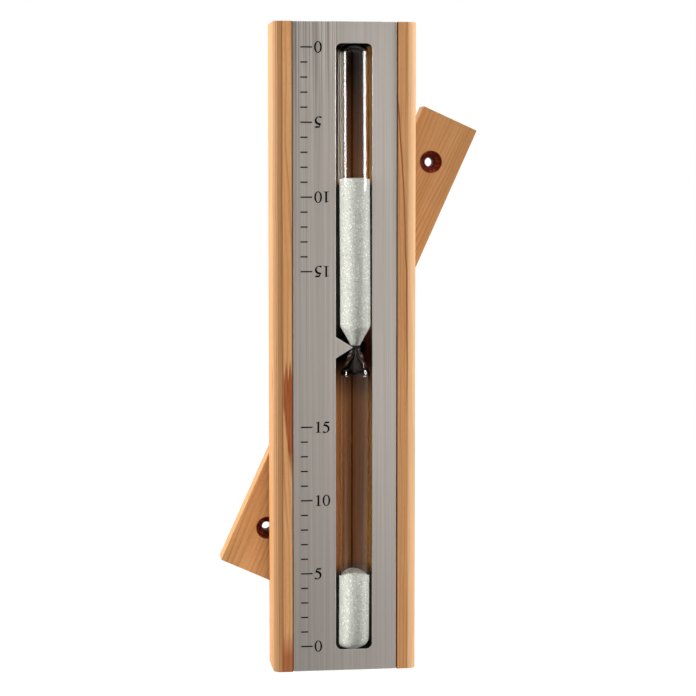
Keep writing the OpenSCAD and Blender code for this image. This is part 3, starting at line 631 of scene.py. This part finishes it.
outside = vial_outline(0, outer_corners)
inside = vial_outline(wall, inner_corners)
vial = revolved("glass_vial_drawn", [(outside, vial_radius, lower_dome),
                                     (inside[::-1], vial_radius - wall, lower_dome - wall)])
vial.data.materials.append(clear_glass())
# Straight shadow rays can't bend in the glass, so its shadow would darken the sand too much
vial.visible_shadow = False
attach(vial, "timer")
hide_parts("glass_vial")

# Sand: fine grey-white quartz, five minutes into its run. Above, it fills the bulb and its cone to a
# level top. Below, its top is a low ridge that drops to both sides. The grains rest against the glass.
sand_contact = 0.02
sand_rim = 0.3
# The ridge stands a little above the solid's top, and what lies close below its top drops to both sides
ridge_rise = 0.4
ridge_drop = 2.2
ridge_depth = 1
# The cone of the upper sand ends in the bore's mouth: the radius and height of its end, and its tip's height
cone_end = (0.46, 1.59)
cone_tip = 1.2
upper_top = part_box("sand_upper")[1].z * 1000
ridge_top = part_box("sand_lower")[1].z * 1000 + ridge_rise
sand_radius = vial_radius - wall + sand_contact


def quartz():
    """Quartz grains: pale grey-white with white, dark and glassy ones among them. They are drawn at
    0.45 mm, about twice their real size, so that they show."""
    material, tree = new_material("quartz_sand_fine")
    mm = millimetres(tree)
    grain = add(tree, "TexVoronoi", {"Vector": mm, "Scale": 2.2})
    tint = add(tree, "SeparateColor", {0: grain["Color"]})[0]
    body = add(tree, "Mix", {0: tint, 6: linear("#B6B6AD"), 7: linear("#C6C6BF")}, data_type="RGBA")[2]
    white = add(tree, "MapRange", {"Value": tint, "From Min": 0.9, "From Max": 0.93, "To Max": 0.75})[0]
    whiter = add(tree, "Mix", {0: white, 6: body, 7: linear("#F2F2EC")}, data_type="RGBA")[2]
    dark = add(tree, "MapRange", {"Value": tint, "From Min": 0.06, "From Max": 0.04, "To Max": 0.4})[0]
    speckled = add(tree, "Mix", {0: dark, 6: whiter, 7: linear("#6C6A60")}, data_type="RGBA")[2]
    # The top of the lower heap is painted a darker brown-grey than its side, a painted shade
    along = add(tree, "SeparateXYZ", {0: mm})["Z"]
    lower = add(tree, "Math", {0: along, 1: 0}, operation="LESS_THAN")[0]
    facing = add(tree, "SeparateXYZ", {0: add(tree, "NewGeometry")["True Normal"]})["Z"]
    above = add(tree, "MapRange", {"Value": facing, "From Min": 0.5, "From Max": 0.8})[0]
    ridge = add(tree, "Math", {0: lower, 1: above}, operation="MULTIPLY")[0]
    colour = add(tree, "Mix", {0: ridge, 6: speckled, 7: linear("#756B5E")}, data_type="RGBA")[2]
    bump = add(tree, "Bump", {"Height": grain["Distance"], "Strength": 0.6, "Distance": 0.0003},
               invert=True)[0]
    finish_surface(tree, add(tree, "BsdfPrincipled", {
        "Base Color": colour, "Roughness": 0.8, "IOR": 1.54, "Specular IOR Level": 0.1,
        "Normal": bump})[0])
    return material


def strewn(piece, material, settings):
    """The piece's mesh with loose grains strewn over its top by Geometry Nodes, as one plain mesh."""
    group = bpy.data.node_groups.new("loose_grains", "GeometryNodeTree")
    group.interface.new_socket("Geometry", in_out="INPUT", socket_type="NodeSocketGeometry")
    for name, kind in (("Grain Radius", "Float"), ("Grains per Area", "Float"), ("Seed", "Int")):
        group.interface.new_socket(name, in_out="INPUT", socket_type="NodeSocket" + kind)
    group.interface.new_socket("Geometry", in_out="OUTPUT", socket_type="NodeSocketGeometry")
    given = add(group, "NodeGroupInput")
    facing = add(group, "SeparateXYZ", {0: add(group, "GeometryNodeInputNormal")[0]})["Z"]
    upward = add(group, "Math", {0: facing, 1: 0.75}, operation="GREATER_THAN")[0]
    points = add(group, "GeometryNodeDistributePointsOnFaces", {
        "Mesh": given["Geometry"], "Selection": upward, "Density": given["Grains per Area"],
        "Seed": given["Seed"]})[0]
    grain = add(group, "GeometryNodeMeshIcoSphere", {"Radius": given["Grain Radius"],
                                                     "Subdivisions": 1})[0]
    size = add(group, "FunctionNodeRandomValue", {2: 0.5, 3: 1.0, "Seed": given["Seed"]},
               data_type="FLOAT")[1]
    strewn_grains = add(group, "GeometryNodeInstanceOnPoints", {"Points": points, "Instance": grain,
                                                                "Scale": size})[0]
    solid = add(group, "GeometryNodeRealizeInstances", {"Geometry": strewn_grains})[0]
    painted = add(group, "GeometryNodeSetMaterial", {"Geometry": solid, "Material": material})[0]
    joined = group.nodes.new("GeometryNodeJoinGeometry")
    group.links.new(painted, joined.inputs[0])
    group.links.new(given["Geometry"], joined.inputs[0])
    add(group, "NodeGroupOutput", {"Geometry": joined.outputs[0]})
    modifier = piece.modifiers.new("loose_grains", "NODES")
    modifier.node_group = group
    for item in group.interface.items_tree:
        if item.in_out == "INPUT" and item.name in settings:
            modifier[item.identifier] = settings[item.name]
    final = bpy.data.meshes.new_from_object(piece.evaluated_get(bpy.context.evaluated_depsgraph_get()))
    piece.modifiers.clear()
    piece.data = final


def level_top(height, steps=8):
    """Points of a level top of sand, from the axis to its rim."""
    return [(sand_radius * i / steps, height) for i in range(steps)] + [(sand_radius - sand_rim, height)]


sand_material = quartz()
sand_corners = [(sand_radius, 11.0, 0.9), (1.42, 1.8, 0.25)]
upper_outline = tidy_outline(
    level_top(upper_top) + cornered((sand_radius, upper_top - sand_rim), sand_corners, cone_end)
    + [(0, cone_tip)])
upper_sand = revolved("sand_upper_grains", [(upper_outline, sand_radius, 1)])
sand_dome = lower_dome - wall + sand_contact
lower_outline = tidy_outline(
    level_top(ridge_top) + [(sand_radius, ridge_top - sand_rim)]
    + dome(sand_radius, sand_dome, wall - sand_contact - vial_half)[::-1])
lower_sand = revolved("sand_lower_grains", [(lower_outline, sand_radius, sand_dome)])
for vertex in lower_sand.data.vertices:
    if vertex.co.z * 1000 > ridge_top - ridge_depth:
        vertex.co.z -= ridge_drop / 1000 * min(1, (vertex.co.x * 1000 / sand_radius) ** 2)
for piece, node in ((upper_sand, "sand_upper"), (lower_sand, "sand_lower")):
    piece.data.materials.append(sand_material)
    strewn(piece, sand_material, {"Grain Radius": 0.00028, "Grains per Area": 3.5e6, "Seed": 7})
    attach(piece, "timer")
    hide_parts(node)

# Tapes: two strips of white acrylic foam tape on the lands beside the groove. The plate has no screws, so
# they hold it.


def foam_tape():
    """White acrylic foam tape with a faint grain."""
    material, tree = new_material("acrylic_foam_tape")
    mm = millimetres(tree)
    grain = add(tree, "TexNoise", {"Vector": mm, "Scale": 3, "Detail": 2})[0]
    tint = add(tree, "Mix", {0: grain, 6: linear("#D8D6CE"), 7: linear("#ECEAE4")}, data_type="RGBA")[2]
    finish_surface(tree, add(tree, "BsdfPrincipled", {"Base Color": tint, "Roughness": 0.8})[0])
    return material


paint_nodes(foam_tape(), "plate_tape_left", "plate_tape_right")

# Face plate: 1 mm stainless steel, brushed along its length, with the slot and the pointer cut in one
# piece by laser. The softened edges are painted bright, a painted highlight, and the walls of the cuts dark.
# The steel is painted darker at the left and paler at the right, a painted shade and light.


def brushed_steel():
    """Brushed stainless steel. The strokes run along Z. They are drawn 0.2 to 1 mm wide, coarser than
    the real ones, and are strongest at the top left. The steel is painted darker at the left and paler at
    the right, a painted shade and light. The softened edges are painted nearly white, a painted highlight,
    and the cut walls dark. They are frosted round the outside and polished at the slot."""
    material, tree = new_material("stainless_steel_brushed")
    mm = millimetres(tree)
    across, _, along = add(tree, "SeparateXYZ", {0: mm})
    fine = drawn_out(tree, mm, 2.2, 0.007, detail=3, roughness=0.7)
    broad = drawn_out(tree, mm, 0.6, 0.005, detail=2)
    strokes = add(tree, "Math", {0: fine, 1: 0.75}, operation="MULTIPLY")[0]
    both = add(tree, "Math", {0: broad, 1: 0.25, 2: strokes}, operation="MULTIPLY_ADD")[0]
    upward = add(tree, "MapRange", {"Value": along, "From Min": 70, "From Max": 140})[0]
    leftward = add(tree, "MapRange", {"Value": across, "From Min": 0, "From Max": -14})[0]
    corner = add(tree, "Math", {0: upward, 1: leftward}, operation="MULTIPLY")[0]
    spread = add(tree, "MapRange", {"Value": corner, "To Min": 0.32, "To Max": 0.07})[0]
    low = add(tree, "Math", {0: 0.5, 1: spread}, operation="SUBTRACT")[0]
    high = add(tree, "Math", {0: 0.5, 1: spread}, operation="ADD")[0]
    share = add(tree, "MapRange", {"Value": both, "From Min": low, "From Max": high})[0]
    # Painted light and shade: the steel is darker at the left and paler at the right
    side = add(tree, "MapRange", {"Value": across, "From Min": -31, "From Max": 20})[0]
    dark = add(tree, "Mix", {0: side, 6: linear("#A0978F"), 7: linear("#C0B7AE")}, data_type="RGBA")[2]
    light = add(tree, "Mix", {0: side, 6: linear("#DAD2CA"), 7: linear("#ECE4DC")}, data_type="RGBA")[2]
    colour = add(tree, "Mix", {0: share, 6: dark, 7: light}, data_type="RGBA")[2]
    rough = add(tree, "MapRange", {"Value": fine, "To Min": 0.44, "To Max": 0.54})[0]
    facing = add(tree, "SeparateXYZ", {0: add(tree, "NewGeometry")["True Normal"]})["Y"]
    squareness = add(tree, "Math", {0: facing}, operation="ABSOLUTE")[0]
    cut = add(tree, "MapRange", {"Value": squareness, "From Min": 0.99, "From Max": 0.93})[0]
    wall = add(tree, "MapRange", {"Value": squareness, "From Min": 0.3, "From Max": 0.15})[0]
    # Painted highlight: the softened edges are nearly white, and the cut walls are dark
    edge_highlight_and_wall_tone = add(tree, "Mix", {0: wall, 6: linear("#F6F3F0"), 7: linear("#2A2725")},
                   data_type="RGBA")[2]
    highlighted_edges = add(tree, "Mix", {0: cut, 6: colour, 7: edge_highlight_and_wall_tone}, data_type="RGBA")[2]
    from_slot = add(tree, "Math", {0: across}, operation="ABSOLUTE")[0]
    at_slot = add(tree, "MapRange", {"Value": from_slot, "From Min": 14, "From Max": 13})[0]
    polished = add(tree, "Math", {0: cut, 1: at_slot}, operation="MULTIPLY")[0]
    frosted = add(tree, "MapRange", {"Value": cut, "To Min": 1.0, "To Max": 0.2})[0]
    metal = add(tree, "Math", {0: frosted, 1: polished}, operation="MAXIMUM")[0]
    finish = add(tree, "Mix", {0: polished, 2: rough, 3: 0.25})[0]
    bump = add(tree, "Bump", {"Height": both, "Strength": 0.15, "Distance": 0.00003})[0]
    finish_surface(tree, add(tree, "BsdfPrincipled", {
        "Base Color": highlighted_edges, "Metallic": metal, "Roughness": finish, "Anisotropic": 0.8,
        "Normal": bump})[0])
    return material


plate = dressed_copy("face_plate", "timer", brushed_steel(), soften=0.0004)

# Marks and numerals: black epoxy ink, screen printed on the plate 0.06 mm thick. The upper set stands on
# its head, so that it reads upright when the timer is turned over.


def screen_ink():
    """Screen-printed epoxy ink: near black, a little uneven where the mesh laid it thinner."""
    material, tree = new_material("epoxy_ink_printed")
    mm = millimetres(tree)
    thin = add(tree, "TexNoise", {"Vector": mm, "Scale": 2.5, "Detail": 3})[0]
    share = add(tree, "MapRange", {"Value": thin, "From Min": 0.45, "From Max": 0.8})[0]
    tint = add(tree, "Mix", {0: share, 6: linear("#070606"), 7: linear("#141110")}, data_type="RGBA")[2]
    finish_surface(tree, add(tree, "BsdfPrincipled", {"Base Color": tint, "Roughness": 0.5,
                                                   "Specular IOR Level": 0.1})[0])
    return material


paint_nodes(screen_ink(), "ticks_upper", "ticks_lower", "numerals_upper", "numerals_lower")

# Studio: a pale floor below the timer, a white surround, and a wide softbox at each side whose lower edge
# hangs at the height of the camera. Two more lamps light the timer from above and in front, and the sand
# and the plate have lamps of their own.
floor_height = -0.30
floor_half_width = 4
floor_front = -0.5
floor_back = 5


def white_for(tree, lit, shown, mirrored):
    """Mixes a lit shader with what cameras see, also through glass, and with what mirrors see."""
    rays = add(tree, "LightPath")
    seen = add(tree, "Math", {0: rays["Is Camera Ray"], 1: rays["Is Transmission Ray"]},
               operation="MAXIMUM")[0]
    direct = add(tree, "MixShader", {0: seen, 1: lit, 2: shown})[0]
    return add(tree, "MixShader", {0: rays["Is Glossy Ray"], 1: direct, 2: mirrored})[0]


floor_mesh = bpy.data.meshes.new("studio_floor")
floor_corners = ((-floor_half_width, floor_front), (floor_half_width, floor_front),
                 (floor_half_width, floor_back), (-floor_half_width, floor_back))
floor_mesh.from_pydata([(x, y, floor_height) for x, y in floor_corners], [], [(0, 1, 2, 3)])
floor = bpy.data.objects.new("studio_floor", floor_mesh)
bpy.context.scene.collection.objects.link(floor)
floor_material, floor_tree = new_material("studio_floor_painted")
floor_paint = add(floor_tree, "BsdfDiffuse", {"Color": linear("#E8E6E2")})[0]
floor_glow = add(floor_tree, "Emission", {"Color": (1, 1, 1, 1), "Strength": 1.12})[0]
floor_seen = add(floor_tree, "MixShader", {0: 0.9, 1: floor_paint, 2: floor_glow})[0]
floor_dim = add(floor_tree, "Emission", {"Color": (1, 1, 1, 1), "Strength": 0.55})[0]
finish_surface(floor_tree, white_for(floor_tree, floor_paint, floor_seen, floor_dim))
floor_mesh.materials.append(floor_material)

world = bpy.data.worlds.new("studio_surround")
world.use_nodes = True
room_tree = world.node_tree
room_tree.nodes.clear()
bpy.context.scene.world = world
around = add(room_tree, "TexCoord")["Generated"]
across, depth, rise = add(room_tree, "SeparateXYZ", {0: around})
# Mirrors see a room that is dim at the left and below, and brighter at the right. Glass sees nothing in
# front of the timer, and both see white behind it.
rightward = add(room_tree, "MapRange", {"Value": across, "From Min": -0.25, "From Max": 0.2,
                                        "To Min": 0.02, "To Max": 0.45})[0]
upward = add(room_tree, "MapRange", {"Value": rise, "From Min": -0.45, "From Max": 0.05,
                                     "To Min": 0.75, "To Max": 1.0})[0]
ceiling = add(room_tree, "MapRange", {"Value": rise, "From Min": 0.05, "From Max": 0.5,
                                      "To Min": 1.0, "To Max": 0.4})[0]
high = add(room_tree, "Math", {0: upward, 1: ceiling}, operation="MULTIPLY")[0]
room = add(room_tree, "Math", {0: rightward, 1: high}, operation="MULTIPLY")[0]
behind = add(room_tree, "MapRange", {"Value": depth, "From Min": -0.1, "From Max": 0.3})[0]
in_mirrors = add(room_tree, "Mix", {0: behind, 2: room, 3: 1.0})[0]
dim, mirrored, refracted, white = (
    add(room_tree, "Background", {"Color": (1, 1, 1, 1), "Strength": strength})[0]
    for strength in (0.08, in_mirrors, behind, 1.0))
rays = add(room_tree, "LightPath")
shiny = add(room_tree, "MixShader", {0: rays["Is Glossy Ray"], 1: dim, 2: mirrored})[0]
clear = add(room_tree, "MixShader", {0: rays["Is Transmission Ray"], 1: shiny, 2: refracted})[0]
surround = add(room_tree, "MixShader", {0: rays["Is Camera Ray"], 1: clear, 2: white})[0]
add(room_tree, "OutputWorld", {"Surface": surround})


def softbox(name, azimuth, elevation, distance, width, height, power):
    """An area lamp that faces the timer. Its angles are degrees seen from the timer's middle, its distance
    and size are metres and its power is watts."""
    data = bpy.data.lights.new(name, "AREA")
    data.shape = "RECTANGLE"
    data.size = width
    data.size_y = height
    data.energy = power
    lamp = bpy.data.objects.new(name, data)
    turn, lift = math.radians(azimuth), math.radians(elevation)
    lamp.location = (math.sin(turn) * math.cos(lift) * distance,
                     -math.cos(turn) * math.cos(lift) * distance, math.sin(lift) * distance)
    lamp.rotation_euler = (math.radians(90) - lift, 0, turn)
    lamp.visible_camera = False
    bpy.context.scene.collection.objects.link(lamp)
    return lamp


# The vial bends light round into the sand, which straight shadow rays can't do. So the other lamps leave
# the sand out, and a key and a glow that nothing hides stand for the light that comes round to it.
sand_left_out = bpy.data.collections.new("sand_left_out")
sand_alone = bpy.data.collections.new("sand_alone")
for piece in (upper_sand, lower_sand):
    sand_left_out.objects.link(piece)
    sand_alone.objects.link(piece)
plate_alone = bpy.data.collections.new("plate_alone")
plate_alone.objects.link(plate)
for member in sand_left_out.collection_objects:
    member.light_linking.link_state = "EXCLUDE"
side_distance = 0.9
side_height = 0.36
side_middle = 0.27
for side, azimuth, width, power in (("left", -94, 0.66, 15.5), ("right", 82, 0.45, 7.5)):
    box = softbox("softbox_" + side, azimuth, 0, side_distance, width, side_height, power)
    box.location.z = side_middle
    box.light_linking.receiver_collection = sand_left_out
top = softbox("softbox_top", 12, 58, 1.3, 1.0, 0.7, 7.8)
front = softbox("softbox_front", 10, 15, 1.6, 0.9, 0.9, 8.9)
key = softbox("softbox_key", -70, 16, 1.0, 0.56, 0.25, 14)
glow = softbox("softbox_glow", 90, 16, 1.0, 0.3, 0.25, 12.2)
# The plate has a lamp of its own, which doesn't show through the glass
sheen = softbox("softbox_sheen", 8, -6, 1.6, 1.2, 0.5, 2.6)
sheen.light_linking.receiver_collection = plate_alone
sheen.visible_transmission = False
for lamp, lit in ((top, sand_left_out), (front, sand_left_out), (key, sand_alone), (glow, sand_alone)):
    lamp.visible_glossy = False
    lamp.visible_transmission = False
    lamp.light_linking.receiver_collection = lit
for lamp in (key, glow):
    lamp.light_linking.blocker_collection = sand_alone
